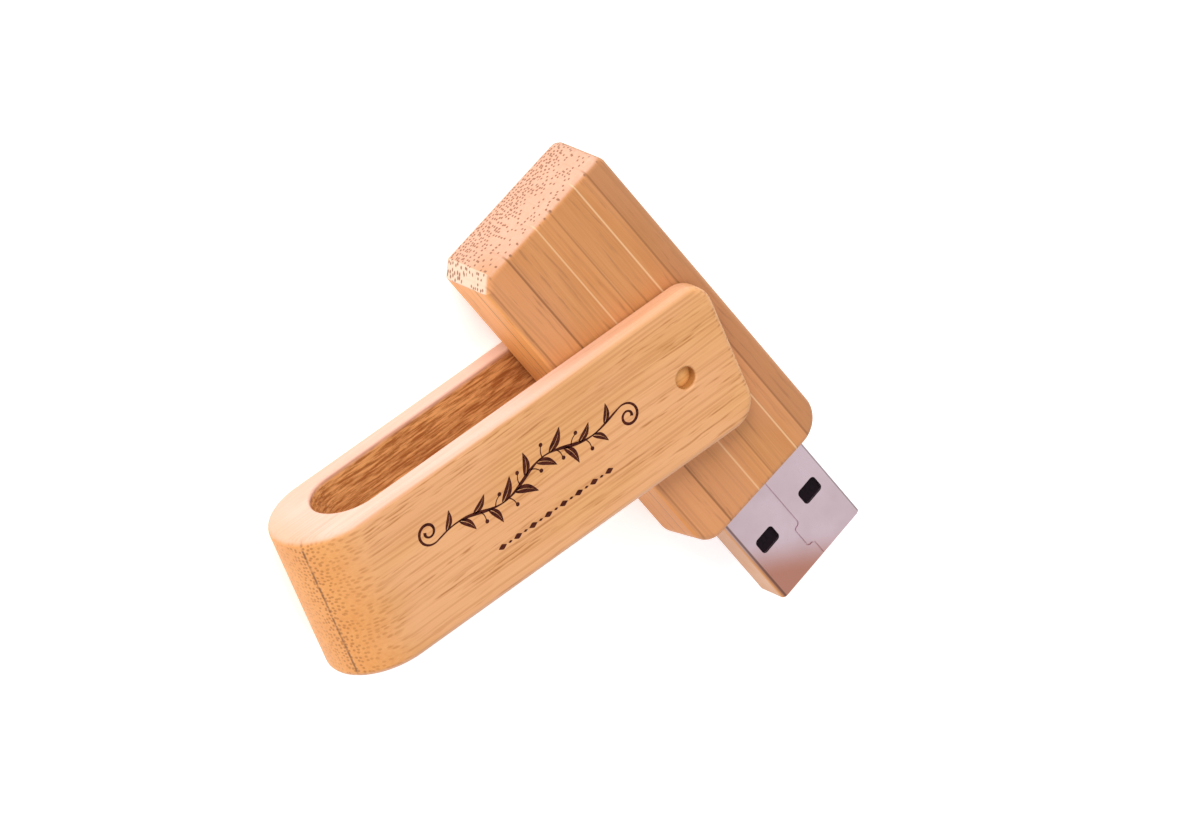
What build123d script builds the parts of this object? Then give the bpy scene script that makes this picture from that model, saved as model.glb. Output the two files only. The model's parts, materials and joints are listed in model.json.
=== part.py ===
from build123d import *
import os

# A swivelling USB flash drive: a laminated bamboo drive body that turns through a full circle
# between the two arms of a U-shaped bamboo cover. Millimetres, +Z up.
# The cover lies flat on its back face, centred on the origin, with its slot open towards +X.
# The drive body is drawn about its pivot, with the plug towards +X, and then turned to its rest pose.
# The plug and the board are drawn with the contacts upwards and put into the body the other way up.

# ---- Driving dimensions --------------------------------------------------------------------------
# Cover
COVER_LENGTH = 50.2
COVER_WIDTH = 16.7
COVER_THICKNESS = 13.0
COVER_END_RADIUS = COVER_THICKNESS / 2     # the closed end is a full half round
COVER_END_WALL = 5.0                       # bamboo left behind the round inner end of the slot
SLOT_HEIGHT = 8.4
ARM_TIP_RADIUS = 3.0
COVER_EDGE_RADIUS = 0.8
SLOT_EDGE_RADIUS = 0.25
PLY_SEAM_HEIGHT = 9.5                      # the thin front ply is glued on here

# Pivot
PIVOT_FROM_TIP = 6.1
REST_SWIVEL = -74.3                        # degrees, anticlockwise; at 0 the plug points straight out to +X
PIN_RADIUS = 1.0
PIN_CLEARANCE = 0.05
PIN_DEPTH_IN_BODY = 1.6
PIN_HOLE_DEPTH_IN_BODY = 1.8
DOWEL_RADIUS = 1.15
DOWEL_HOLE_DEPTH = 1.5
DOWEL_LENGTH = 0.5                         # its end lies well below the cover's face
DOWEL_DOME = 0.15
DOWEL_MOUTH_RADIUS = 0.25

# Drive body
BODY_NEAR_SIDE = 9.15                      # plug's axis to the -Y side; the two sides are sanded unequally
BODY_FAR_SIDE = 8.9                        # plug's axis to the +Y side
BODY_THICKNESS = 8.0
BODY_REAR = 23.7                           # pivot to the middle of the rear end
REAR_SKEW = 1.7                            # degrees; both ends are out of square, further +X on the +Y side
BODY_FRONT = 18.35                         # pivot to the middle of the front end
FRONT_SKEW = 2.0
FRONT_RAKE = 11.0                          # degrees; the front end is longer at the back face
BODY_REAR_CHAMFER_NEAR = 1.4
BODY_REAR_CORNER_FAR = 1.2
BODY_FRONT_CORNER_NEAR = 2.4
BODY_FRONT_CORNER_FAR = 3.1
BODY_EDGE_RADIUS = 0.7
LID_THICKNESS = 2.4
POCKET_WALL = 1.6                          # bamboo left over the electronics, front and back
POCKET_HALF_WIDTH = 7.0
LEDGE_HALF_WIDTH = 6.2
POCKET_REAR = 20.2
LEDGE_REAR = 19.1
POCKET_FRONT = 15.8
LID_POCKET_REAR = 8.4
BOSS_RADIUS = 3.2
BOSS_TOP = -1.2

# Plug, to the standard USB type A plug size
PLUG_WIDTH = 12.0
PLUG_HEIGHT = 4.5
PLUG_EXPOSED = 11.35                       # from the middle of the front end to the tip
PLUG_LENGTH = 18.75
PLUG_WALL = 0.3
PLUG_EDGE_RADIUS = 0.55
PLUG_TIP_RADIUS = 0.22
PLUG_HOLE_GAP = 0.05
WINDOW_LENGTH = 1.9
WINDOW_WIDTH = 2.5
WINDOW_CORNER = 0.45
WINDOW_FROM_TIP = 6.42
WINDOW_SPACING = 6.65
SEAM_OFFSET = -0.25                        # the seam runs a little to one side of the plug's middle
SEAM_WIDTH = 0.16
SEAM_DEPTH = 0.18
SEAM_STEP = 0.8                            # how far the lock tab bulges the seam sideways
SEAM_BEND = 0.38
SEAM_TAB_FROM_TIP = 4.75
SEAM_TAB_LENGTH = 2.65
EAR_LENGTH = 2.0
EAR_TOP = 0.6
TONGUE_RECESS = 0.4
TONGUE_BLOCK_FROM_TIP = 9.9
TONGUE_BLOCK_REAR = 0.4
CONTACT_WIDTH = 1.0
CONTACT_PROUD = 0.05
CONTACT_TAIL = 2.0
CONTACTS = {"contact_power": (-3.5, 1.4), "contact_data_minus": (-1.0, 2.3),
            "contact_data_plus": (1.0, 2.3), "contact_ground": (3.5, 1.4)}  # offset, setback from tip

# Electronics
BOARD_THICKNESS = 0.8
BOARD_TOP = -0.2
BOARD_HALF_WIDTH = 6.9
BOARD_REAR = -19.9
BOARD_GAP_TO_PLUG = 0.2
CONTROLLER_SIZE = 6.0
CONTROLLER_CENTRE = 5.1
FLASH_LENGTH = 18.4
FLASH_WIDTH = 12.0
FLASH_CENTRE = -9.0
CHIP_HEIGHT = 1.0
CHIP_STANDOFF = 0.1
LEAD_LENGTH = 0.6
LEAD_THICKNESS = 0.15

# ---- Derived places ------------------------------------------------------------------------------
MID_HEIGHT = COVER_THICKNESS / 2
PIVOT_X = COVER_LENGTH / 2 - PIVOT_FROM_TIP
LID_PLANE = BODY_THICKNESS / 2 - LID_THICKNESS
POCKET_HALF_HEIGHT = BODY_THICKNESS / 2 - POCKET_WALL
PLUG_TIP = BODY_FRONT + PLUG_EXPOSED
PLUG_REAR = PLUG_TIP - PLUG_LENGTH
BOARD_BOTTOM = BOARD_TOP - BOARD_THICKNESS
BOARD_FRONT = PLUG_REAR - BOARD_GAP_TO_PLUG
BOARD_LEDGE = -BOARD_TOP                   # height of the ledge in the body, board turned over
SEAT = Location((PIVOT_X, 0, MID_HEIGHT), (0, 0, REST_SWIVEL))
TURNED_OVER = Rot(180, 0, 0)
BIG = 200.0


def block(x0, x1, y0, y1, z0, z1):
    """Box between two corners."""
    size = Box(x1 - x0, y1 - y0, z1 - z0)
    return Pos((x0 + x1) / 2, (y0 + y1) / 2, (z0 + z1) / 2) * size


def rod(radius, z0, z1, x=0.0, y=0.0):
    """Upright round bar from z0 to z1."""
    return Pos(x, y, (z0 + z1) / 2) * Cylinder(radius, z1 - z0)


def close(a, b, tolerance=0.01):
    return abs(a - b) < tolerance


# ---- Cover ---------------------------------------------------------------------------------------
def round_ended_bar(left, right, height, width):
    """Bar along X with a half-round left end, its profile in XZ, centred on the mid height."""
    radius = height / 2
    profile = Pos((left + radius + right) / 2, 0) * Rectangle(right - left - radius, height)
    profile += Pos(left + radius, 0) * Circle(radius)
    return Pos(0, width / 2, MID_HEIGHT) * extrude(Plane.XZ * profile, width)


def cover_blank():
    """The cover with its slot and all its rounded edges, before the pivot holes."""
    half, side = COVER_LENGTH / 2, COVER_WIDTH / 2
    blank = round_ended_bar(-half, half, COVER_THICKNESS, COVER_WIDTH)
    tips = [e for e in blank.edges().filter_by(Axis.Z) if close(e.center().X, half)]
    blank = fillet(tips, ARM_TIP_RADIUS)
    round_start = -half + COVER_END_RADIUS
    outline = []
    for edge in blank.edges():
        middle = edge.center()
        upright = edge.geom_type == GeomType.LINE and close(edge.bounding_box().size.Z, COVER_THICKNESS)
        tangent = close(middle.X, round_start) and close(middle.Y, 0)
        seam = close(middle.X, -half) and close(middle.Y, 0)
        if not upright and not tangent and not seam:
            outline.append(edge)
    blank = fillet(outline, COVER_EDGE_RADIUS)
    slot_left = -half + COVER_END_WALL
    blank -= round_ended_bar(slot_left, half + SLOT_HEIGHT, SLOT_HEIGHT, COVER_WIDTH + 2)
    slot_round_start = slot_left + SLOT_HEIGHT / 2
    rims = []
    for edge in blank.edges():
        box = edge.bounding_box()
        low, high = MID_HEIGHT - SLOT_HEIGHT / 2, MID_HEIGHT + SLOT_HEIGHT / 2
        flat = close(box.size.Z, 0) and (close(box.min.Z, low) or close(box.min.Z, high))
        on_rim = close(box.size.Y, 0) and close(abs(box.min.Y), side) and box.min.X > slot_left - 0.1
        arc = on_rim and box.max.X < slot_round_start + 0.1
        crosses = close(edge.center().X, slot_round_start) and close(edge.center().Y, 0)
        if (flat and not crosses) or arc:
            rims.append(edge)
    return fillet(rims, SLOT_EDGE_RADIUS)


def pivot_hole(sign):
    """Stepped hole in one arm: pin bore and dowel bore."""
    outer = COVER_THICKNESS / 2
    hole = rod(PIN_RADIUS, SLOT_HEIGHT / 2 - 1, outer)
    hole += rod(DOWEL_RADIUS, outer - DOWEL_HOLE_DEPTH, outer + 1)
    if sign < 0:
        hole = Rot(180, 0, 0) * hole
    return Pos(PIVOT_X, 0, MID_HEIGHT) * hole


def cover_plies():
    """The two bamboo plies, glued together across the closed end, with softened dowel mouths."""
    cover = cover_blank() - pivot_hole(1) - pivot_hole(-1)
    mouths = []
    for edge in cover.edges().filter_by(GeomType.CIRCLE):
        on_face = close(edge.center().Z, 0) or close(edge.center().Z, COVER_THICKNESS)
        if on_face and close(edge.radius, DOWEL_RADIUS):
            mouths.append(edge)
    cover = fillet(mouths, DOWEL_MOUTH_RADIUS)
    upper = cover & block(-BIG, BIG, -BIG, BIG, PLY_SEAM_HEIGHT, BIG)
    lower = cover & block(-BIG, BIG, -BIG, BIG, -BIG, PLY_SEAM_HEIGHT)
    return {"cover_front_ply": upper, "cover_back_ply": lower}


def pivot_pieces():
    """Steel stub pin and bamboo dowel for each arm. The pins stop short of the circuit board."""
    outer = COVER_THICKNESS / 2
    shoulder = outer - DOWEL_HOLE_DEPTH
    pin = rod(PIN_RADIUS, BODY_THICKNESS / 2 - PIN_DEPTH_IN_BODY, shoulder)
    pin = chamfer(pin.edges().sort_by(Axis.Z)[0], 0.2)
    dome_radius = (DOWEL_RADIUS ** 2 + DOWEL_DOME ** 2) / (2 * DOWEL_DOME)
    crown = shoulder + DOWEL_LENGTH
    dowel = rod(DOWEL_RADIUS, shoulder, crown) & (Pos(0, 0, crown - dome_radius) * Sphere(dome_radius))
    pieces = {}
    for side, turn in (("front", 0), ("back", 180)):
        place = Pos(PIVOT_X, 0, MID_HEIGHT) * Rot(turn, 0, 0)
        pieces[side + "_pivot_pin"] = place * pin
        pieces[side + "_pivot_dowel"] = place * dowel
    return pieces


# ---- Drive body ----------------------------------------------------------------------------------
def corner_edge(solid, along, across):
    """The edge that stands furthest out at one corner; along and across are -1 or 1."""
    upright = [e for e in solid.edges() if close(e.bounding_box().size.Z, BODY_THICKNESS)]
    return max(upright, key=lambda e: along * e.center().X + across * e.center().Y)


def body_blank():
    """The closed bamboo block, rounded at its corners and along every outside edge."""
    half = BODY_THICKNESS / 2
    blank = block(-BODY_REAR - 3, BODY_FRONT + 4, -BODY_NEAR_SIDE, BODY_FAR_SIDE, -half, half)
    blank -= Pos(-BODY_REAR, 0, 0) * Rot(0, 0, -REAR_SKEW) * block(-BIG, 0, -BIG, BIG, -BIG, BIG)
    blank -= Pos(BODY_FRONT, 0, 0) * Rot(0, -FRONT_RAKE, -FRONT_SKEW) * block(0, BIG, -BIG, BIG, -BIG, BIG)
    blank = chamfer(corner_edge(blank, -1, -1), BODY_REAR_CHAMFER_NEAR)
    blank = fillet(corner_edge(blank, -1, 1), BODY_REAR_CORNER_FAR)
    blank = fillet(corner_edge(blank, 1, -1), BODY_FRONT_CORNER_NEAR)
    blank = fillet(corner_edge(blank, 1, 1), BODY_FRONT_CORNER_FAR)
    faces = blank.faces().filter_by(Axis.Z)
    return fillet(faces.edges(), BODY_EDGE_RADIUS)


def body_hollow():
    """The routed pocket, the ledge that the board rests on, and the plug's opening in the front end."""
    top, bottom = POCKET_HALF_HEIGHT, -POCKET_HALF_HEIGHT
    wide, narrow = POCKET_HALF_WIDTH, LEDGE_HALF_WIDTH
    hollow = block(-POCKET_REAR, POCKET_FRONT, -wide, wide, BOARD_LEDGE, LID_PLANE)
    hollow += block(-LEDGE_REAR, POCKET_FRONT, -narrow, narrow, bottom, BOARD_LEDGE)
    hollow += block(LID_POCKET_REAR, POCKET_FRONT, -narrow, narrow, LID_PLANE, top)
    hollow -= rod(BOSS_RADIUS, bottom, BOSS_TOP)
    mouth = Pos(BODY_FRONT, 0, 0) * Box(2 * (BODY_FRONT - POCKET_FRONT) + 1,
                                        PLUG_WIDTH + 2 * PLUG_HOLE_GAP, PLUG_HEIGHT + 2 * PLUG_HOLE_GAP)
    mouth = fillet(mouth.edges().filter_by(Axis.X), PLUG_EDGE_RADIUS)
    return hollow + mouth


def body_shells():
    """The bamboo tray with the pocket, and the thinner lid glued over it."""
    bore = PIN_RADIUS + PIN_CLEARANCE
    face = BODY_THICKNESS / 2
    body = body_blank() - body_hollow()
    body -= rod(bore, face - PIN_HOLE_DEPTH_IN_BODY, face + 1)
    body -= rod(bore, -face - 1, -face + PIN_HOLE_DEPTH_IN_BODY)
    lid = body & block(-BIG, BIG, -BIG, BIG, LID_PLANE, BIG)
    tray = body & block(-BIG, BIG, -BIG, BIG, -BIG, LID_PLANE)
    return {"body_lid": lid, "body_tray": tray}


# ---- Plug ----------------------------------------------------------------------------------------
def rounded_bar(x0, x1, width, height, radius):
    """Bar along X with rounded long edges, centred on the plug's axis."""
    bar = Pos((x0 + x1) / 2, 0, 0) * Box(x1 - x0, width, height)
    return fillet(bar.edges().filter_by(Axis.X), radius)


def seam_groove():
    """The folded shell's butt seam, under the tongue, with the rounded bulge of its lock tab."""
    face = -PLUG_HEIGHT / 2
    tab_start = PLUG_TIP - SEAM_TAB_FROM_TIP
    tab_end = tab_start + SEAM_TAB_LENGTH
    corners = [(PLUG_REAR - 1, 0), (tab_start, 0), (tab_start, SEAM_STEP), (tab_end, SEAM_STEP), (tab_end, 0),
               (PLUG_TIP + 1, 0)]
    line = trace(FilletPolyline(*corners, radius=SEAM_BEND), SEAM_WIDTH)
    return extrude(Pos(0, SEAM_OFFSET, face - 1) * line, 1 + SEAM_DEPTH)


def plug_shell():
    """Folded steel shell with two latch windows in each wide face and two solder ears at the rear."""
    outer = rounded_bar(PLUG_REAR, PLUG_TIP, PLUG_WIDTH, PLUG_HEIGHT, PLUG_EDGE_RADIUS)
    tip_edges = [e for e in outer.edges() if close(e.bounding_box().min.X, PLUG_TIP)]
    outer = fillet(tip_edges, PLUG_TIP_RADIUS)
    inner = rounded_bar(PLUG_REAR - 1, PLUG_TIP + 1, PLUG_WIDTH - 2 * PLUG_WALL,
                        PLUG_HEIGHT - 2 * PLUG_WALL, PLUG_EDGE_RADIUS - PLUG_WALL)
    shell = outer - inner
    for sign in (-1, 1):
        window = Box(WINDOW_LENGTH, WINDOW_WIDTH, PLUG_HEIGHT + 2)
        window = fillet(window.edges().filter_by(Axis.Z), WINDOW_CORNER)
        shell -= Pos(PLUG_TIP - WINDOW_FROM_TIP, sign * WINDOW_SPACING / 2, 0) * window
        outside = sign * PLUG_WIDTH / 2
        inside = sign * (PLUG_WIDTH / 2 - PLUG_WALL)
        shell += block(PLUG_REAR - EAR_LENGTH, PLUG_REAR + 0.1, min(outside, inside),
                       max(outside, inside), BOARD_BOTTOM, EAR_TOP)
    return shell - seam_groove()


def contact_bar(offset, setback):
    """One flat contact, from its tail on the board to near the end of the tongue."""
    return block(PLUG_REAR - CONTACT_TAIL, PLUG_TIP - setback, offset - CONTACT_WIDTH / 2,
                 offset + CONTACT_WIDTH / 2, BOARD_TOP, CONTACT_PROUD)


def plug_tongue():
    """Plastic block that fills the rear of the shell, and the tongue that carries the contacts."""
    height = PLUG_HEIGHT - 2 * PLUG_WALL
    width = PLUG_WIDTH - 2 * PLUG_WALL
    radius = PLUG_EDGE_RADIUS - PLUG_WALL
    full = rounded_bar(PLUG_REAR + TONGUE_BLOCK_REAR, PLUG_TIP - TONGUE_RECESS, width, height, radius)
    above = block(PLUG_TIP - TONGUE_BLOCK_FROM_TIP, PLUG_TIP, -width, width, 0, height)
    tongue = full - above
    lead_in = [e for e in tongue.edges().filter_by(Axis.Y)
               if close(e.center().X, PLUG_TIP - TONGUE_RECESS) and close(e.center().Z, 0)]
    tongue = chamfer(lead_in, 0.3)
    for offset, setback in CONTACTS.values():
        tongue -= contact_bar(offset, setback)
    return tongue


# ---- Electronics ---------------------------------------------------------------------------------
def circuit_board():
    """The board, with two slots in its front edge for the shell's solder ears."""
    board = block(BOARD_REAR, BOARD_FRONT, -BOARD_HALF_WIDTH, BOARD_HALF_WIDTH, BOARD_BOTTOM, BOARD_TOP)
    for sign in (-1, 1):
        centre = sign * (PLUG_WIDTH - PLUG_WALL) / 2
        board -= block(PLUG_REAR - EAR_LENGTH - 0.1, BOARD_FRONT + 1, centre - PLUG_WALL / 2 - 0.05,
                       centre + PLUG_WALL / 2 + 0.05, BOARD_BOTTOM - 1, BOARD_TOP + 1)
    return board


def chip(centre, length, width, leads, pitch, lead_width, all_sides):
    """Moulded package with flat leads on its two ends, or on all four sides."""
    low = BOARD_TOP + CHIP_STANDOFF
    body = block(centre - length / 2, centre + length / 2, -width / 2, width / 2, low, low + CHIP_HEIGHT)
    body = chamfer(body.faces().sort_by(Axis.Z)[-1].edges(), 0.12)
    reach = LEAD_LENGTH + 0.1
    for index in range(leads):
        along = (index - (leads - 1) / 2) * pitch
        for sign in (-1, 1):
            end = centre + sign * (length / 2 + reach / 2 - 0.1)
            lead = Box(reach, lead_width, CHIP_STANDOFF + LEAD_THICKNESS)
            height = BOARD_TOP + (CHIP_STANDOFF + LEAD_THICKNESS) / 2
            body += Pos(end, along, height) * lead
            if all_sides:
                side = sign * (width / 2 + reach / 2 - 0.1)
                body += Pos(centre + along, side, height) * Rot(0, 0, 90) * lead
    return body


def crystal():
    """Can of the clock crystal, on its flat base."""
    can = block(2.2, 5.4, 4.05, 6.05, BOARD_TOP, BOARD_TOP + 0.7)
    return fillet(can.edges().filter_by(Axis.Z), 0.4)


def small_parts(places, length, width, height):
    """A group of identical small blocks on the board's top face."""
    group = Part()
    for x, y in places:
        group += block(x - length / 2, x + length / 2, y - width / 2, y + width / 2,
                       BOARD_TOP, BOARD_TOP + height)
    return group


def drive_pieces():
    """Every piece that turns with the drive body, at its place in the row."""
    inner = {"plug_shell": plug_shell(), "plug_tongue": plug_tongue()}
    for name, (offset, setback) in CONTACTS.items():
        inner[name] = contact_bar(offset, setback)
    inner["circuit_board"] = circuit_board()
    inner["controller_chip"] = chip(CONTROLLER_CENTRE, CONTROLLER_SIZE, CONTROLLER_SIZE, 9, 0.6, 0.25, True)
    inner["flash_chip"] = chip(FLASH_CENTRE, FLASH_LENGTH, FLASH_WIDTH, 18, 0.65, 0.25, False)
    inner["crystal"] = crystal()
    inner["capacitors"] = small_parts([(1.6, -5.6), (3.4, -5.6), (5.2, -5.6)], 1.0, 0.5, 0.5)
    inner["resistors"] = small_parts([(7.0, -5.3), (8.2, -4.4)], 0.5, 1.0, 0.35)
    pieces = {name: SEAT * shell for name, shell in body_shells().items()}
    for name, piece in inner.items():
        pieces[name] = SEAT * TURNED_OVER * piece
    return pieces


# ---- Export --------------------------------------------------------------------------------------
os.makedirs("parts", exist_ok=True)
nodes = {**cover_plies(), **pivot_pieces(), **drive_pieces()}
for name, piece in nodes.items():
    export_step(piece, f"parts/{name}.step")
    print(name, round(piece.volume, 3))
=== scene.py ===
import bpy
import json
import math
from mathutils import Matrix, Vector


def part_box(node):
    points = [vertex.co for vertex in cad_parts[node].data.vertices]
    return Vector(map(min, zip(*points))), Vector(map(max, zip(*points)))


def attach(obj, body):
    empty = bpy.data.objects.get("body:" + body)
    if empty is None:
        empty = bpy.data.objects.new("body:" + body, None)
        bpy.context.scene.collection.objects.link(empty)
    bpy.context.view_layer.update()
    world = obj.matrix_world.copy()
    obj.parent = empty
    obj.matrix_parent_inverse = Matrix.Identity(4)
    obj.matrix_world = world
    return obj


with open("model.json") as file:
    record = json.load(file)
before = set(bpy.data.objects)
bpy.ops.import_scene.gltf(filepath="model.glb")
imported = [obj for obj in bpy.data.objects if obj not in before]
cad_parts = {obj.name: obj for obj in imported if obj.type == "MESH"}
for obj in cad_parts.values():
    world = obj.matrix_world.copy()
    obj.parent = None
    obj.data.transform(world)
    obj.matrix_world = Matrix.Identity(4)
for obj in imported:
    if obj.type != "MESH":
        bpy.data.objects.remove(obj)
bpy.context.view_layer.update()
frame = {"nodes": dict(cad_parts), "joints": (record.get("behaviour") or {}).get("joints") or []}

# ---- Driving values ------------------------------------------------------------------------------
MM = 0.001
PIVOT = Vector(frame["joints"][0]["pos_m"])
REST_SWIVEL = math.radians(-74.3)
COVER_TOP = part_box("cover_front_ply")[1][2] / MM
COVER_MIDDLE = COVER_TOP / 2
COVER_HALF_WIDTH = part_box("cover_front_ply")[1][1] / MM
COVER_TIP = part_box("cover_front_ply")[1][0] / MM

# Camera: long lens, steep, and rolled as a hand-held or turned picture is
CAMERA_AIM = Vector((0.01194, -0.00117, 0.0065))
CAMERA_AZIMUTH = -143.27
CAMERA_ELEVATION = 53.53
CAMERA_ROLL = 113.55
CAMERA_DISTANCE = 1.1739
CAMERA_LENS = 356.06
SENSOR_WIDTH = 36.0

# Floor and light, in metres and watts
FLOOR_SIZE = 3
FLOOR_GAP = 0.00003                        # keeps the floor from flickering through the cover's underside
FLOOR_GLOW = 0.42
SKY_STRENGTH = 0.83
KEY_PLACE = (-0.15, 0.8, 0.5)
KEY_SIZE = 0.5
KEY_POWER = 6.6

# Bamboo: fibres run along X of each solid's own frame; sizes in millimetres
BUNDLE_PITCH = 0.43                        # one vascular bundle to the next, in the end grain
BUNDLE_CORE = (0.17, 0.42)                 # where a bundle's dark core ends, as a share of the pitch
STREAK_PITCH = 0.42                        # the same for the streaks on the long faces
STREAK_CORE = (0.10, 0.45)
STREAK_DENSITY = 0.75
STREAK_STRENGTH = 0.8
FACE_QUIET = 0.5                           # how strongly the bundles show on the drive's long faces
WANDER = 0.9                               # how far a bundle drifts sideways over its length
RIPPLE = 0.35                              # and within a few millimetres
BUNDLE_RELIEF = 0.03

# Cycles per millimetre of the noise behind each effect, along the fibre and across it
FIBRE_CYCLES = (0.06, 4.5, 4.5)
WANDER_CYCLES = (0.05, 0.3, 0.3)
RIPPLE_CYCLES = (0.35, 1.1, 1.1)
CLUSTER_CYCLES = (0.07, 0.45, 0.45)
BREAK_CYCLES = (0.28, 3.0, 3.0)
PATCH_CYCLES = (0.06, 0.3, 0.3)
BLUSH_CYCLES = (0.05, 0.16, 0.16)
ROUTED_CYCLES = (0.3, 3.0, 3.0)
RAGGED_CYCLES = (1.0, 1.6, 1.0)

# The cover, in the frame's own axes
COVER_SEAM = 9.5                           # glue line between the cover's plies, above the underside
COVER_END_WALL = 5.0
COVER_EDGE = 0.7                           # how far the softened edges reach in from the rim
CLOSED_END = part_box("cover_back_ply")[0][0] / MM
SLOT_START = CLOSED_END + COVER_END_WALL
SLOT_HALF_HEIGHT = 4.2
PIVOT_X = PIVOT.x / MM
DOWEL_RADIUS = (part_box("front_pivot_dowel")[1][0] - PIVOT.x) / MM

# The drive's own frame, from the pivot: X towards the plug, Y across, Z up from mid thickness
BODY_REAR = -23.7
BODY_FRONT = 18.35
BODY_NEAR = -9.15
FRONT_RAKE, FRONT_SKEW = math.radians(11.0), math.radians(2.0)
REAR_SKEW = math.radians(1.7)
REAR_CORNER = BODY_REAR + BODY_NEAR * math.tan(REAR_SKEW)
LID_PLANE = 1.6
PLUG_SIDE = 6.0

# Colours: two tones that the fibres mix, and then what lies on them
COVER_TONES = (0.75, 0.392, 0.16), (0.61, 0.27, 0.093)
COVER_BUNDLE = (0.40, 0.14, 0.025)
CLOSED_END_TONES = (0.77, 0.335, 0.09), (0.67, 0.25, 0.05)
# Slot's inner surface: routed wood, darkened partly as painted shade in the recess
ROUTED_AND_SHADED_TONES = (0.36, 0.115, 0.024), (0.81, 0.405, 0.145)
# Rims: painted light, paler where the rims face the key light, given to both rims; a browner tone towards the
# closed end
PAINTED_RIM_LIGHT_TONES = (0.745, 0.465, 0.365), (0.70, 0.39, 0.28)
RIM_END_TONE = (0.66, 0.36, 0.22)
GLUE_LINE = (0.20, 0.075, 0.02)
# Dowel hole's wall: painted shade in the hole, with some darker cut end grain
DRILLED_WALL_SHADE = (0.42, 0.17, 0.035)
DRIVE_TONES = (0.65, 0.288, 0.102), (0.535, 0.205, 0.058)
DRIVE_BUNDLE = (0.23, 0.09, 0.035)
FLANK_TONES = (0.93, 0.44, 0.145), (0.78, 0.32, 0.085)
FLANK_FRONT = (0.64, 0.22, 0.035)
# Rear end and its corner facet: painted light, paler tones where they face the key light, the facet lightest;
# darker towards the near side and the top
REAR_LIT_TONES = (0.65, 0.36, 0.245), (0.58, 0.295, 0.185)
REAR_DARKER_TONE = (0.51, 0.225, 0.085)
FACET_HIGHLIGHT = (0.78, 0.57, 0.42)
# Joint colours: dark glue lines, and light lines that are painted glints
SEAM_DARK, SEAM_GLINT = (0.30, 0.115, 0.035), (0.88, 0.56, 0.30)
DOWEL_TONES = (0.97, 0.52, 0.17), (0.88, 0.42, 0.12)
DOWEL_BUNDLE = (0.6, 0.27, 0.07)
DOWEL_RING = (0.42, 0.18, 0.05)
BLUSH_TINT = (1.01, 0.97, 1.22)
PLUG_TONES = (0.735, 0.575, 0.635), (0.66, 0.505, 0.545)
# Plug: painted warm reflections at the tip's near corner and on the near side
CORNER_REFLECTION, SIDE_REFLECTION = (0.54, 0.235, 0.165), (0.50, 0.225, 0.08)
# Painted shade along the plug's folded edges
FOLD_SHADE_FAR, FOLD_SHADE_NEAR = (0.13, 0.085, 0.09), (0.17, 0.085, 0.06)
TONGUE_TONES = (0.006, 0.003, 0.005), (0.012, 0.006, 0.010)
CHAR_TONES = (0.030, 0.006, 0.005), (0.10, 0.022, 0.012)
FLOOR_TONES = (0.93, 0.93, 0.93), (0.96, 0.96, 0.96)

# Laminated strips the drive is made from: where each starts across it, and its tone; the two far strips'
# tones, from 4.65, are partly their own and partly painted shadow of the cover's tip
STRIPS = [(-10.0, 0.95), (-8.6, 1.0), (-5.3, 0.95), (-1.05, 1.0), (1.1, 0.93), (4.65, 0.95), (6.45, 0.78),
          (10.0, 1.0)]
# Their joints: place, half width, colour and strength; the light ones are painted glints on sanded joints
SEAMS = [(-8.6, 0.14, SEAM_DARK, 0.5), (-5.3, 0.17, SEAM_DARK, 0.95), (-1.05, 0.13, SEAM_GLINT, 0.5),
         (1.1, 0.13, SEAM_DARK, 0.55), (4.65, 0.13, SEAM_GLINT, 0.6), (6.45, 0.15, SEAM_DARK, 0.75)]

# Burned ornament on the cover's front face, in millimetres: a leafy stem over a row of lozenges
MARK_HEIGHT = 0.01                         # how far the burned skin stands over the face
STEM_START, STEM_END = -12.4, 11.2
STEM_LEVEL, STEM_RISE, STEM_SWAY, STEM_WAVES = 1.4, 0.4, 0.8, 2.0
STEM_PHASE = 0.4
STEM_STEPS = 150
FINE_STROKE, STEM_SWELL, CURL_SWELL, CURL_BULB = 0.16, 0.24, 0.16, 0.22
LEAF_COUNT, LEAF_LENGTH, LEAF_WIDTH, LEAF_LEAN = 13, 2.85, 0.86, 50
LEAF_STEPS, LEAF_BOW, VEIN_GAP = 18, 0.10, 0.08
BERRY_OFFSET = 0.8                         # along the stem from the leaf opposite
BERRY_STALK, BERRY_RADIUS, BERRY_LEAN = 1.15, 0.22, 62
STALK_STEPS, STALK_BOW, STALK_WIDTH, STALK_TAPER = 8, 0.12, 0.13, 0.03
CURL_RADIUS, CURL_STEPS = 1.15, 48
DROP_STEPS, DISC_SIDES = 10, 20
BORDER_START, BORDER_END, BORDER_COUNT, BORDER_LEVEL = -6.3, 7.4, 15, -3.5
LARGE_LOZENGE, SMALL_LOZENGE = (0.52, 0.3), (0.26, 0.13)    # half length and half width


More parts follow.
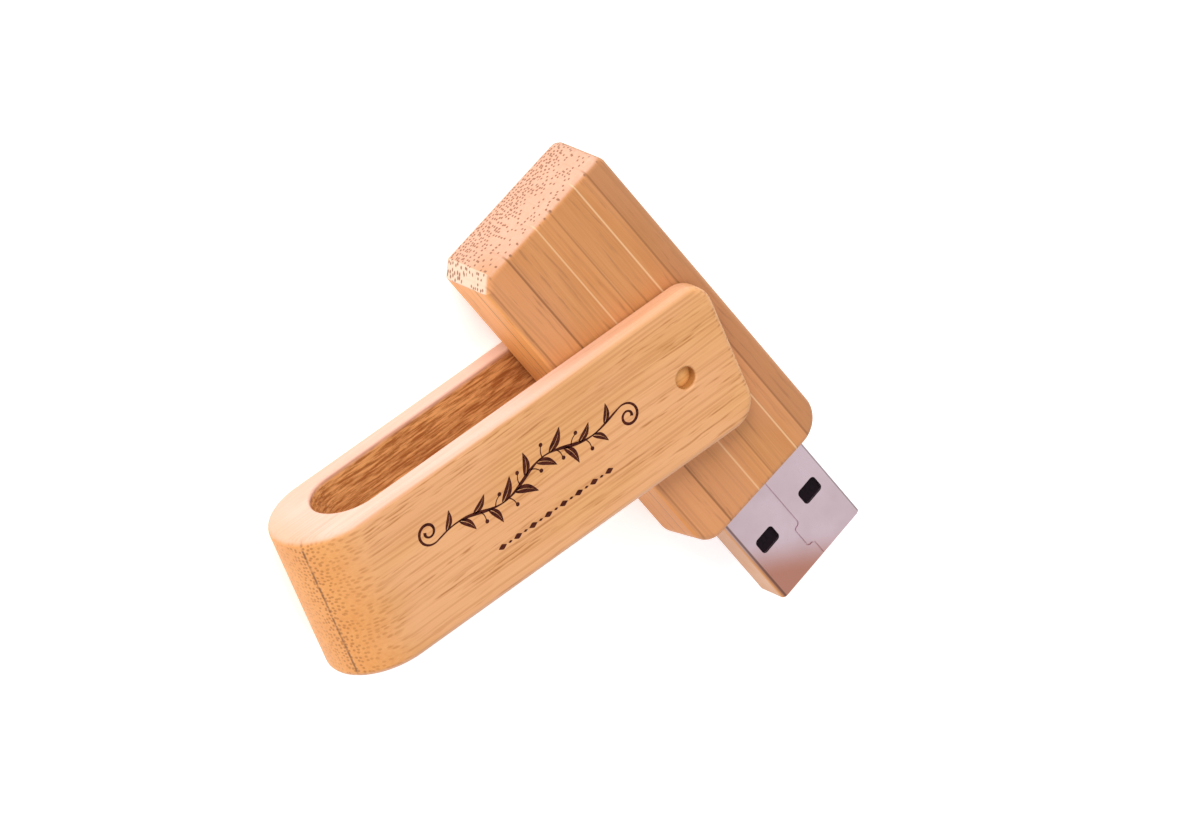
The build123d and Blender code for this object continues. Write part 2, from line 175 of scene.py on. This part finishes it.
# ---- Node helper ---------------------------------------------------------------------------------
class Finish:
    """One material, with short calls for the nodes that its colour, roughness and relief come from."""

    def __init__(self, name, **sockets):
        self.material = bpy.data.materials.new(name)
        self.material.use_nodes = True
        self.tree = self.material.node_tree
        self.surface = self.tree.nodes["Principled BSDF"]
        for socket, value in sockets.items():
            self.surface.inputs[socket.replace("_", " ")].default_value = value

    def put(self, socket, value):
        if isinstance(value, bpy.types.NodeSocket):
            self.tree.links.new(value, socket)
        else:
            socket.default_value = value

    def add(self, kind, inputs, out=0, **settings):
        node = self.tree.nodes.new("ShaderNode" + kind)
        for key, value in settings.items():
            setattr(node, key, value)
        for key, value in inputs.items():
            self.put(node.inputs[key], value)
        return node.outputs[out]

    def math(self, operation, *values):
        return self.add("Math", dict(enumerate(values)), operation=operation)

    def both(self, a, b):
        """Product of two masks, or of a mask and a strength."""
        return self.math("MULTIPLY", a, b)

    def either(self, a, b):
        return self.math("MAXIMUM", a, b)

    def away(self, value, centre):
        return self.math("ABSOLUTE", self.math("SUBTRACT", value, centre))

    def times(self, vector, factors):
        return self.add("VectorMath", {0: vector, 1: factors}, operation="MULTIPLY")

    def noise(self, vector, scale, detail=2.0, roughness=0.5, out=0):
        inputs = {"Vector": vector, "Scale": scale, "Detail": detail, "Roughness": roughness}
        return self.add("TexNoise", inputs, out)

    def spread(self, value, low, high, to_low=0.0, to_high=1.0, smooth=False):
        inputs = {"Value": value, "From Min": low, "From Max": high, "To Min": to_low, "To Max": to_high}
        return self.add("MapRange", inputs, interpolation_type="SMOOTHSTEP" if smooth else "LINEAR")

    def mix(self, factor, a, b, blend="MIX"):
        node = self.tree.nodes.new("ShaderNodeMix")
        node.data_type = "RGBA"
        node.blend_type = blend
        sockets = {s.identifier: s for s in node.inputs}
        self.put(sockets["Factor_Float"], factor)
        for key, value in (("A_Color", a), ("B_Color", b)):
            self.put(sockets[key], value if isinstance(value, bpy.types.NodeSocket) else (*value, 1.0))
        return next(s for s in node.outputs if s.identifier == "Result_Color")

    def steps(self, value, stops):
        """A grey that holds from each stop to the next."""
        node = self.tree.nodes.new("ShaderNodeValToRGB")
        node.color_ramp.interpolation = "CONSTANT"
        elements = node.color_ramp.elements
        while len(elements) < len(stops):
            elements.new(0.5)
        for element, (place, grey) in zip(elements, stops):
            element.position = place
            element.color = (grey, grey, grey, 1.0)
        self.put(node.inputs[0], value)
        return node.outputs[0]

    def place(self, origin=(0, 0, 0), turn=0.0):
        """Millimetres in the frame of the solid at rest; it travels with the solid."""
        coordinates = self.add("TexCoord", {}, 3)
        inputs = {"Vector": coordinates, "Location": origin, "Rotation": (0, 0, turn), "Scale": (MM, MM, MM)}
        return self.add("Mapping", inputs, vector_type="TEXTURE")

    def split(self, vector):
        node = self.tree.nodes.new("ShaderNodeSeparateXYZ")
        self.put(node.inputs[0], vector)
        return node.outputs

    def join(self, x, y, z):
        return self.add("CombineXYZ", {0: x, 1: y, 2: z})

    def relief(self, height, distance, strength=1.0):
        inputs = {"Height": height, "Distance": distance, "Strength": strength}
        self.put(self.surface.inputs["Normal"], self.add("Bump", inputs))

    def color(self, value):
        self.put(self.surface.inputs["Base Color"], value)

    def roughness(self, value):
        self.put(self.surface.inputs["Roughness"], value)


# ---- Bamboo --------------------------------------------------------------------------------------
def band(f, value, low, high, soft):
    """1 between low and high, fading to 0 over soft on either side."""
    rise = f.spread(value, low - soft, low, smooth=True)
    fall = f.spread(value, high, high + soft, 1.0, 0.0, smooth=True)
    return f.both(rise, fall)


def bundles_of(f, p, pitch, density, core):
    """Vascular bundles, run along the fibre: dots in the end grain, streaks on the long faces."""
    _, y, z = f.split(p)
    node = f.tree.nodes.new("ShaderNodeTexVoronoi")
    node.voronoi_dimensions = "2D"
    f.put(node.inputs["Vector"], f.join(y, z, 0.0))
    f.put(node.inputs["Scale"], 1 / pitch)
    f.put(node.inputs["Randomness"], 0.7)
    chance = f.split(node.outputs["Color"])[0]
    kept = f.math("GREATER_THAN", density, chance)
    return f.both(kept, f.spread(node.outputs["Distance"], core[0], core[1], 1.0, 0.0, smooth=True))


def bent(f, p, base, cycles, reach):
    """base, pushed sideways by up to half of reach."""
    push = f.noise(f.times(p, cycles), 1.0, 1.0, out=1)
    push = f.add("VectorMath", {0: push, 1: (0.5, 0.5, 0.5)}, operation="SUBTRACT")
    return f.add("VectorMath", {0: base, 1: f.times(push, (0, reach, reach))}, operation="ADD")


def bamboo(name, origin, turn, tones, bundle, density, end_mask, extras):
    """Solid bamboo. density(f, z) gives how many bundles there are, end_mask(f, x, y, z) is 1 on the end
    grain, with how strongly the bundles show, and extras adds what one solid has of its own: its colour,
    and the thin lines on it."""
    light, deep = tones
    f = Finish(name, Roughness=0.5, Specular_IOR_Level=0.42)
    p = f.place(origin, turn)
    x, y, z = f.split(p)
    drifted = bent(f, p, p, WANDER_CYCLES, WANDER)
    rippled = bent(f, p, drifted, RIPPLE_CYCLES, RIPPLE)
    ends, quiet = end_mask(f, x, y, z)

    dots = bundles_of(f, drifted, BUNDLE_PITCH, density(f, z), BUNDLE_CORE)
    dots = f.both(dots, f.spread(ends, 0.0, 1.0, 0.3, 0.95))
    streaks = bundles_of(f, rippled, STREAK_PITCH, STREAK_DENSITY, STREAK_CORE)
    clusters = f.spread(f.noise(f.times(p, CLUSTER_CYCLES), 1.0, 2.0), 0.4, 0.55, 0.12, 1.0)
    broken = f.spread(f.noise(f.times(p, BREAK_CYCLES), 1.0, 2.0), 0.42, 0.55)
    streaks = f.both(streaks, f.both(clusters, broken))
    streaks = f.both(streaks, f.spread(ends, 0.0, 1.0, STREAK_STRENGTH, 0.0))
    bundles = f.both(f.either(dots, streaks), quiet)

    fibres = f.noise(f.times(drifted, FIBRE_CYCLES), 1.0, 4.0, 0.7)
    patches = f.noise(f.times(p, PATCH_CYCLES), 1.0, 2.0)
    tone = f.math("ADD", f.spread(fibres, 0.32, 0.68, 0.0, 0.6), f.spread(patches, 0.3, 0.7, 0.0, 0.4))
    color = f.mix(tone, light, deep)
    blush = f.spread(f.noise(f.times(p, BLUSH_CYCLES), 1.0, 1.0), 0.4, 0.62, 0.0, 0.45, smooth=True)
    color = f.mix(blush, color, tuple(part * tint for part, tint in zip(light, BLUSH_TINT)))
    color, lines = extras(f, x, y, z, p, color, tone)
    color = f.mix(bundles, color, bundle)
    sunk = bundles
    for line, shade in lines:
        color = f.mix(line, color, shade)
        sunk = f.either(sunk, line)
    f.color(color)
    f.roughness(f.spread(fibres, 0.25, 0.75, 0.42, 0.6))
    f.relief(f.math("SUBTRACT", f.both(fibres, 0.5), sunk), BUNDLE_RELIEF * MM, 0.6)
    return f.material


def cover_density(f, z):
    return f.spread(f.away(z, COVER_SEAM), 0.0, 5.0, 0.95, 0.45)


def cover_ends(f, x, y, z):
    """End grain at the closed end and the arm tips; the bundles gather at the seam and fade on the rims."""
    end = f.spread(x, CLOSED_END + 6.5, CLOSED_END + 2.5, smooth=True)
    tip = f.spread(x, COVER_TIP - 0.9, COVER_TIP - 0.5, 0.0, 0.5, smooth=True)
    by_seam = f.spread(f.away(z, COVER_SEAM), 0.4, 2.2, 0.85, 0.4, smooth=True)
    on_end = f.spread(end, 0.0, 1.0, 1.0, by_seam)
    on_rim = f.spread(f.math("ABSOLUTE", y), COVER_HALF_WIDTH - COVER_EDGE, COVER_HALF_WIDTH - 0.3, 1.0, 0.22)
    return f.either(end, tip), f.both(on_end, on_rim)


def shaded_routed_slot(f, x, y, high, p, color):
    """Darker wood on the slot's inner surface: partly rougher routed wood, partly painted shade in the
    recess.
    """
    inner = f.both(f.spread(high, SLOT_HALF_HEIGHT + 0.02, SLOT_HALF_HEIGHT + 0.12, 1.0, 0.0),
                   f.spread(x, SLOT_START - 0.25, SLOT_START - 0.1))
    within = f.spread(f.math("ABSOLUTE", y), COVER_HALF_WIDTH - 0.3, COVER_HALF_WIDTH - 0.15, 1.0, 0.0)
    torn = f.noise(f.times(p, ROUTED_CYCLES), 1.0, 5.0, 0.72)
    torn = f.spread(torn, 0.38, 0.63, smooth=True)
    return f.mix(f.both(inner, within), color, f.mix(torn, *ROUTED_AND_SHADED_TONES))


def cover_extras(f, x, y, z, p, color, tone):
    """Browner closed end, routed slot darkened partly with painted shade, rims painted paler as painted
    light, the plies' glue line and painted shade on the dowel hole's wall.
    """
    closed = f.spread(x, CLOSED_END + 7.0, CLOSED_END + 0.5, smooth=True)
    color = f.mix(f.both(closed, 0.8), color, f.mix(tone, *CLOSED_END_TONES))
    high = f.away(z, COVER_MIDDLE)
    color = shaded_routed_slot(f, x, y, high, p, color)

    # Painted light: the rims are painted paler, less so towards the tip, and browner towards the closed end
    rim = f.spread(f.math("ABSOLUTE", y), COVER_HALF_WIDTH - COVER_EDGE, COVER_HALF_WIDTH - 0.1, smooth=True)
    rim = f.both(rim, f.spread(x, 2.0, 17.0, 1.0, 0.35))
    towards_closed_end = f.spread(x, CLOSED_END + 0.3, CLOSED_END + 4.0, 0.75, 0.0, smooth=True)
    color = f.mix(rim, color, f.mix(towards_closed_end, f.mix(tone, *PAINTED_RIM_LIGHT_TONES), RIM_END_TONE))

    ragged = f.spread(f.noise(f.times(p, RAGGED_CYCLES), 1.0, 3.0), 0.38, 0.56, 0.1, 1.0)
    glue = f.both(f.spread(f.away(z, COVER_SEAM), 0.04, 0.17, 1.0, 0.0, smooth=True), ragged)
    glue = f.both(glue, f.spread(rim, 0.0, 1.0, 0.9, 0.2))
    flat = f.times(p, (1, 1, 0))
    off_pivot = f.add("VectorMath", {0: flat, 1: (PIVOT_X, 0, 0)}, out=1, operation="DISTANCE")
    # Painted shade on the dowel hole's wall, with some darker cut end grain
    drilled_shade = f.spread(off_pivot, DOWEL_RADIUS + 0.06, DOWEL_RADIUS + 0.2, 0.85, 0.0, smooth=True)
    drilled_shade = f.both(drilled_shade, f.spread(high, COVER_MIDDLE - 0.35, COVER_MIDDLE - 0.08, 1.0, 0.0))
    return color, [(glue, GLUE_LINE), (drilled_shade, DRILLED_WALL_SHADE)]


def drive_density(f, z):
    return f.spread(z, -1.6, 0.4, 1.0, 0.35)


def rear_depth(f, x, y):
    """How far along the fibre a point lies, measured square to the rear end."""
    return f.math("SUBTRACT", x, f.both(y, math.tan(REAR_SKEW)))


def rear_facet(f, x, y):
    """1 on the flat cut across the near rear corner."""
    reach = f.math("ADD", f.both(x, -1.0), f.both(y, -1.0))
    return f.spread(reach, -REAR_CORNER - BODY_NEAR - 1.6, -REAR_CORNER - BODY_NEAR - 1.42)


def drive_ends(f, x, y, z):
    rear = f.spread(rear_depth(f, x, y), BODY_REAR + 0.7, BODY_REAR + 0.3, smooth=True)
    rear = f.either(rear, rear_facet(f, x, y))
    out = f.math("ADD", x, f.both(z, math.tan(FRONT_RAKE)))
    out = f.math("SUBTRACT", out, f.both(y, math.tan(FRONT_SKEW)))
    front = f.spread(out, BODY_FRONT - 0.7, BODY_FRONT - 0.3, 0.0, 0.6, smooth=True)
    ends = f.either(rear, front)
    return ends, f.spread(ends, 0.6, 1.0, FACE_QUIET, 1.0)


def strip_tones_and_shade(f, y, color):
    """The strips' tones, side by side; the two far strips are darker partly as painted shadow of the cover's
    tip.
    """
    low, high = STRIPS[0][0], STRIPS[-1][0]
    stops = [((at - low) / (high - low), value) for at, value in STRIPS[:-1]]
    return f.mix(1.0, color, f.steps(f.spread(y, low, high), stops), "MULTIPLY")


def drive_extras(f, x, y, z, p, color, tone):
    """Laminated strips, the far ones darker partly as painted shadow, and their joints with painted glints on
    the light ones, a warmer near side, a rear end and corner facet painted paler as painted light, and the
    lid's glue line.
    """
    color = strip_tones_and_shade(f, y, color)
    side = f.spread(y, BODY_NEAR + 0.35, BODY_NEAR + 0.05, smooth=True)
    towards_front = f.spread(x, 4.0, 14.0, 0.0, 0.85, smooth=True)
    color = f.mix(side, color, f.mix(towards_front, f.mix(tone, *FLANK_TONES), FLANK_FRONT))

    # Painted light: the rear end and its corner facet are painted paler, the facet lightest, and darker
    # towards the near side and the top
    end = f.spread(rear_depth(f, x, y), BODY_REAR + 0.5, BODY_REAR + 0.1, smooth=True)
    facet = rear_facet(f, x, y)
    rear_light = f.either(end, facet)
    rear_darker = f.both(f.spread(y, -4.5, -7.5, 0.0, 0.6, smooth=True), f.spread(z, -1.0, 2.5, smooth=True))
    color = f.mix(rear_light, color, f.mix(rear_darker, f.mix(tone, *REAR_LIT_TONES), REAR_DARKER_TONE))
    color = f.mix(f.both(facet, 0.8), color, FACET_HIGHLIGHT)

    on_face = f.spread(f.math("ABSOLUTE", z), 3.3, 3.9, 0.12, 1.0)
    lines = []
    # Joints: dark lines, and painted glints on the light ones
    for at, width, shade, strength in SEAMS:
        line = f.spread(f.away(y, at), width * 0.3, width, strength, 0.0, smooth=True)
        lines.append((f.both(line, on_face), shade))
    lid_line = f.spread(f.away(z, LID_PLANE), 0.04, 0.16, 0.7, 0.0, smooth=True)
    lines.append((f.both(lid_line, f.spread(rear_light, 0.0, 1.0, 1.0, 0.1)), SEAM_DARK))
    return color, lines


def dowel_density(f, z):
    return 0.5


def dowel_ends(f, x, y, z):
    return 0.4, 0.6


def dowel_extras(f, x, y, z, p, color, tone):
    """A darker ring at the dowel's edge."""
    radius = f.add("VectorMath", {0: f.times(p, (1, 1, 0))}, out=1, operation="LENGTH")
    ring = f.spread(radius, DOWEL_RADIUS - 0.25, DOWEL_RADIUS, 0.0, 0.35, smooth=True)
    return color, [(ring, DOWEL_RING)]


def make_bamboos():
    return {
        "cover_bamboo": bamboo("cover_bamboo", (0, 0, 0), 0.0, COVER_TONES, COVER_BUNDLE,
                               cover_density, cover_ends, cover_extras),
        "body_bamboo": bamboo("drive_bamboo", PIVOT, REST_SWIVEL, DRIVE_TONES, DRIVE_BUNDLE,
                              drive_density, drive_ends, drive_extras),
        "dowel_bamboo": bamboo("dowel_bamboo", PIVOT, 0.0, DOWEL_TONES, DOWEL_BUNDLE,
                               dowel_density, dowel_ends, dowel_extras),
    }


# ---- Metal, plastic and electronics --------------------------------------------------------------
def brushed_metal(name, color, shade, roughness, along, extras=None):
    """Brushed along one axis of the drive: 0, 1 or 2 for X, Y or Z."""
    f = Finish(name, Metallic=1.0, Roughness=roughness)
    p = f.place(PIVOT, REST_SWIVEL)
    stretch = tuple(0.3 if axis == along else 9.0 for axis in range(3))
    lines = f.noise(f.times(p, stretch), 1.0, 3.0, 0.6)
    clouds = f.noise(p, 0.22, 3.0)
    base = f.mix(f.spread(clouds, 0.35, 0.65), color, shade)
    if extras:
        base = extras(f, *f.split(p), base)
    f.color(base)
    f.roughness(f.math("ADD", f.spread(lines, 0.3, 0.7, roughness - 0.06, roughness + 0.06),
                       f.spread(clouds, 0.3, 0.7, -0.03, 0.05)))
    f.relief(lines, 0.004 * MM, 0.5)
    return f.material


def plug_painted_light(f, x, y, z, color):
    """Painted warm reflections towards the tip's near corner and on the near side, and painted shade along
    the folded edges.
    """
    # Painted warm reflection towards the tip's near corner
    towards_corner = f.math("SUBTRACT", f.both(x, 0.75), f.both(y, 0.66))
    corner = f.spread(towards_corner, 19.6, 23.6, smooth=True)
    color = f.mix(f.both(corner, 0.95), color, CORNER_REFLECTION)
    # Painted warm reflection on the near side
    side = f.spread(y, 0.3 - PLUG_SIDE, 0.05 - PLUG_SIDE, smooth=True)
    color = f.mix(f.both(side, 0.95), color, SIDE_REFLECTION)
    # Painted shade along the folded edges, far and near
    fold_shades = ((PLUG_SIDE - 0.22, PLUG_SIDE - 0.1, FOLD_SHADE_FAR), (0.28 - PLUG_SIDE, 0.4 - PLUG_SIDE, FOLD_SHADE_NEAR))
    for low, high, shade in fold_shades:
        color = f.mix(f.both(band(f, y, low, high, 0.1), 0.8), color, shade)
    return color


def moulded(name, color, shade, roughness, specular=0.5):
    f = Finish(name, Roughness=roughness, Specular_IOR_Level=specular)
    p = f.place(PIVOT, REST_SWIVEL)
    speckle = f.noise(p, 3.0, 4.0, 0.6)
    f.color(f.mix(f.spread(speckle, 0.35, 0.65), color, shade))
    f.roughness(f.spread(speckle, 0.3, 0.7, roughness - 0.08, roughness + 0.08))
    f.relief(speckle, 0.01 * MM, 0.5)
    return f.material


def make_others():
    return {
        "pin_steel": brushed_metal("pin_steel", (0.62, 0.6, 0.58), (0.5, 0.48, 0.46), 0.3, 2),
        "plug_steel": brushed_metal("plug_steel", *PLUG_TONES, 0.34, 0, plug_painted_light),
        "contact_gold": brushed_metal("contact_gold", (0.95, 0.68, 0.28), (0.82, 0.55, 0.2), 0.28, 0),
        "crystal_can": brushed_metal("crystal_can", (0.72, 0.72, 0.74), (0.6, 0.6, 0.62), 0.3, 1),
        "tongue_plastic": moulded("tongue_plastic", *TONGUE_TONES, 0.5, specular=0.06),
        "board_laminate": moulded("board_laminate", (0.01, 0.12, 0.045), (0.02, 0.17, 0.07), 0.4),
        "chip_resin": moulded("chip_resin", (0.014, 0.014, 0.015), (0.03, 0.03, 0.032), 0.55),
        "capacitor_ceramic": moulded("capacitor_ceramic", (0.5, 0.33, 0.18), (0.4, 0.26, 0.14), 0.45),
        "resistor_ceramic": moulded("resistor_ceramic", (0.02, 0.02, 0.022), (0.05, 0.05, 0.05), 0.45),
    }


# ---- Burned ornament -----------------------------------------------------------------------------
def scorched():
    f = Finish("scorched_bamboo", Roughness=0.7, Specular_IOR_Level=0.04)
    p = f.place()
    char = f.noise(f.times(p, (0.6, 5.0, 5.0)), 1.0, 3.0, 0.6)
    f.color(f.mix(f.spread(char, 0.35, 0.65), *CHAR_TONES))
    f.roughness(f.spread(char, 0.3, 0.7, 0.55, 0.8))
    f.relief(char, 0.02 * MM, 0.6)
    return f.material


def ribbon(faces, points, widths):
    """Pen stroke along points, as wide as widths says at each."""
    left, right = [], []
    for i, here in enumerate(points):
        before, after = points[max(i - 1, 0)], points[min(i + 1, len(points) - 1)]
        along = Vector((after[0] - before[0], after[1] - before[1])).normalized()
        half = widths[i] / 2
        left.append((here[0] - along.y * half, here[1] + along.x * half))
        right.append((here[0] + along.y * half, here[1] - along.x * half))
    for i in range(len(points) - 1):
        faces.append([right[i], right[i + 1], left[i + 1], left[i]])


def stem_point(x):
    """The wavy stem that everything grows from."""
    s = (x - STEM_START) / (STEM_END - STEM_START)
    sway = STEM_SWAY * math.sin(2 * math.pi * STEM_WAVES * s + STEM_PHASE)
    fuller_in_middle = 0.55 + 0.45 * math.sin(math.pi * s)
    return (x, STEM_LEVEL + STEM_RISE * (s - 0.5) + sway * fuller_in_middle)


def leaf(faces, root, angle, length, width):
    """Two half blades with a fine bare vein between them, on a bowed midline."""
    ahead = Vector((math.cos(angle), math.sin(angle)))
    aside = Vector((-ahead.y, ahead.x))
    for side in (-1, 1):
        inner, outer = [], []
        for i in range(LEAF_STEPS + 1):
            t = i / LEAF_STEPS
            bow = LEAF_BOW * length * math.sin(math.pi * t) * (1 if math.sin(angle) > 0 else -1)
            middle = Vector(root) + ahead * (t * length) - aside * bow
            vein = VEIN_GAP / 2 * (1 - t)
            blade = vein + width / 2 * math.sin(math.pi * t ** 0.8) ** 0.9
            inner.append(tuple(middle + aside * side * vein))
            outer.append(tuple(middle + aside * side * max(blade, vein)))
        for i in range(LEAF_STEPS):
            quad = [inner[i], inner[i + 1], outer[i + 1], outer[i]]
            faces.append(quad if side > 0 else quad[::-1])


def curl(faces, root, angle, side):
    """Free end of the stem, which leaves at angle and winds into a small spiral."""
    points, widths = [], []
    x, y, heading = root[0], root[1], angle
    step = CURL_RADIUS * 2 * math.pi / CURL_STEPS
    for i in range(CURL_STEPS + 1):
        t = i / CURL_STEPS
        points.append((x, y))
        widths.append(FINE_STROKE + CURL_SWELL * math.sin(math.pi * t) + CURL_BULB * max(0.0, t - 0.9) * 10)
        heading += side * step / (CURL_RADIUS * (1.3 - 0.95 * t))
        x += step * math.cos(heading)
        y += step * math.sin(heading)
    ribbon(faces, points, widths)


def berry(faces, root, angle):
    """Small disc on a bowed stalk."""
    ahead = Vector((math.cos(angle), math.sin(angle)))
    aside = Vector((-ahead.y, ahead.x))
    points, widths = [], []
    for i in range(STALK_STEPS + 1):
        t = i / STALK_STEPS
        bow = aside * (STALK_BOW * math.sin(math.pi * t))
        points.append(tuple(Vector(root) + ahead * (t * BERRY_STALK) + bow))
        widths.append(STALK_WIDTH - STALK_TAPER * t)
    ribbon(faces, points, widths)
    middle = Vector(points[-1]) + ahead * BERRY_RADIUS * 0.7
    rim = []
    for i in range(DISC_SIDES):
        turn = 2 * math.pi * i / DISC_SIDES
        rim.append((middle.x + BERRY_RADIUS * math.cos(turn), middle.y + BERRY_RADIUS * math.sin(turn)))
    faces.append(rim)


def drop(faces, middle, half_length, half_width):
    """Small pointed lozenge with bowed sides."""
    upper, lower = [], []
    for i in range(DROP_STEPS + 1):
        t = -1 + 2 * i / DROP_STEPS
        reach = half_width * (1 - abs(t) ** 1.3)
        upper.append((middle[0] + half_length * t, middle[1] + reach))
        lower.append((middle[0] + half_length * t, middle[1] - reach))
    for i in range(DROP_STEPS):
        faces.append([lower[i], lower[i + 1], upper[i + 1], upper[i]])


def mark(name, faces, material):
    """Flat burned shape on the cover's front face, carried by the cover."""
    verts, index, polygons = [], {}, []
    for face in faces:
        corner_ids = []
        for x, y in face:
            key = (round(x, 4), round(y, 4))
            if key not in index:
                index[key] = len(verts)
                verts.append((x * MM, y * MM, (COVER_TOP + MARK_HEIGHT) * MM))
            if index[key] not in corner_ids:
                corner_ids.append(index[key])
        if len(corner_ids) > 2:
            polygons.append(corner_ids)
    mesh = bpy.data.meshes.new(name)
    mesh.from_pydata(verts, [], polygons)
    mesh.update()
    mesh.materials.append(material)
    piece = bpy.data.objects.new(name, mesh)
    bpy.context.scene.collection.objects.link(piece)
    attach(piece, "cover")


def stem_slope(x):
    here, ahead = stem_point(x), stem_point(x + 0.2)
    return math.atan2(ahead[1] - here[1], ahead[0] - here[0])


def make_ornament():
    material = scorched()
    stem, leaves, berries, border = [], [], [], []
    points, widths = [], []
    for i in range(STEM_STEPS + 1):
        s = i / STEM_STEPS
        points.append(stem_point(STEM_START + (STEM_END - STEM_START) * s))
        pulse = 0.5 + 0.5 * math.cos(2 * (2 * math.pi * STEM_WAVES * s + STEM_PHASE))
        widths.append(FINE_STROKE + STEM_SWELL * pulse * min(1.0, 8 * s, 8 * (1 - s)))
    ribbon(stem, points, widths)
    curl(stem, points[-1], stem_slope(STEM_END), -1)
    curl(stem, points[0], stem_slope(STEM_START) + math.pi, -1)
    for i in range(LEAF_COUNT):
        t = (i + 0.5) / LEAF_COUNT
        x = STEM_START + (STEM_END - STEM_START) * (0.02 + 0.92 * t)
        way = 1 if i % 2 == 0 else -1
        size = (0.72 + 0.28 * math.sin(math.pi * t)) * (1.0 if i % 4 < 2 else 0.9)
        slope = stem_slope(x)
        lean = slope + way * math.radians(LEAF_LEAN)
        leaf(leaves, stem_point(x), lean, LEAF_LENGTH * size, LEAF_WIDTH * size)
        if 1 < i < LEAF_COUNT - 2:
            berry(berries, stem_point(x + BERRY_OFFSET), slope - way * math.radians(BERRY_LEAN))
    for i in range(BORDER_COUNT):
        x = BORDER_START + (BORDER_END - BORDER_START) * i / (BORDER_COUNT - 1)
        drop(border, (x, BORDER_LEVEL), *(LARGE_LOZENGE if i % 2 == 0 else SMALL_LOZENGE))
    mark("burned_stem", stem, material)
    mark("burned_leaves", leaves, material)
    mark("burned_berries", berries, material)
    mark("burned_border", border, material)


# ---- Camera, light and floor ---------------------------------------------------------------------
def make_camera():
    data = bpy.data.cameras.new("camera")
    data.lens = CAMERA_LENS
    data.sensor_width = SENSOR_WIDTH
    data.clip_start = 0.05
    data.clip_end = 20.0
    camera = bpy.data.objects.new("camera", data)
    bpy.context.scene.collection.objects.link(camera)
    azimuth, elevation = math.radians(CAMERA_AZIMUTH), math.radians(CAMERA_ELEVATION)
    back = Vector((math.sin(azimuth) * math.cos(elevation), -math.cos(azimuth) * math.cos(elevation),
                   math.sin(elevation)))
    turn = (-back).to_track_quat("-Z", "Y").to_matrix().to_4x4()
    roll = Matrix.Rotation(math.radians(CAMERA_ROLL), 4, "Z")
    camera.matrix_world = Matrix.Translation(CAMERA_AIM + back * CAMERA_DISTANCE) @ turn @ roll
    bpy.context.scene.camera = camera


def make_key_light():
    data = bpy.data.lights.new("key", "AREA")
    data.shape = "RECTANGLE"
    data.size = KEY_SIZE
    data.size_y = KEY_SIZE
    data.energy = KEY_POWER
    light = bpy.data.objects.new("key", data)
    bpy.context.scene.collection.objects.link(light)
    light.location = KEY_PLACE
    light.rotation_mode = "QUATERNION"
    light.rotation_quaternion = (CAMERA_AIM - Vector(KEY_PLACE)).to_track_quat("-Z", "Y")


def make_floor():
    bpy.ops.mesh.primitive_plane_add(size=FLOOR_SIZE, location=(0, 0, -FLOOR_GAP))
    floor = bpy.context.object
    floor.name = "floor"
    f = Finish("floor_paper", Roughness=0.85, Emission_Color=(1, 1, 1, 1), Emission_Strength=FLOOR_GLOW)
    mottle = f.noise(f.add("TexCoord", {}, 3), 60.0, 3.0)
    f.color(f.mix(mottle, *FLOOR_TONES))
    floor.data.materials.append(f.material)


def make_sky():
    world = bpy.data.worlds.new("world")
    bpy.context.scene.world = world
    world.use_nodes = True
    background = world.node_tree.nodes["Background"]
    background.inputs["Color"].default_value = (1, 1, 1, 1)
    background.inputs["Strength"].default_value = SKY_STRENGTH


# ---- Assembly ------------------------------------------------------------------------------------
SLOT_OF = {
    "cover_front_ply": "cover_bamboo", "cover_back_ply": "cover_bamboo",
    "front_pivot_pin": "pin_steel", "back_pivot_pin": "pin_steel",
    "front_pivot_dowel": "dowel_bamboo", "back_pivot_dowel": "dowel_bamboo",
    "body_lid": "body_bamboo", "body_tray": "body_bamboo",
    "plug_shell": "plug_steel", "plug_tongue": "tongue_plastic",
    "contact_power": "contact_gold", "contact_data_minus": "contact_gold",
    "contact_data_plus": "contact_gold", "contact_ground": "contact_gold",
    "circuit_board": "board_laminate", "controller_chip": "chip_resin", "flash_chip": "chip_resin",
    "crystal": "crystal_can", "capacitors": "capacitor_ceramic", "resistors": "resistor_ceramic",
}


def dress_solids():
    finishes = {**make_bamboos(), **make_others()}
    for node_name, slot_name in SLOT_OF.items():
        solid = frame["nodes"][node_name]
        solid.data.materials.clear()
        solid.data.materials.append(finishes[slot_name])
        solid.data.shade_smooth()
        solid.data.set_sharp_from_angle(angle=math.radians(30))


make_camera()
dress_solids()
make_ornament()
make_floor()
make_sky()
make_key_light()
bpy.context.scene.view_settings.view_transform = "Standard"
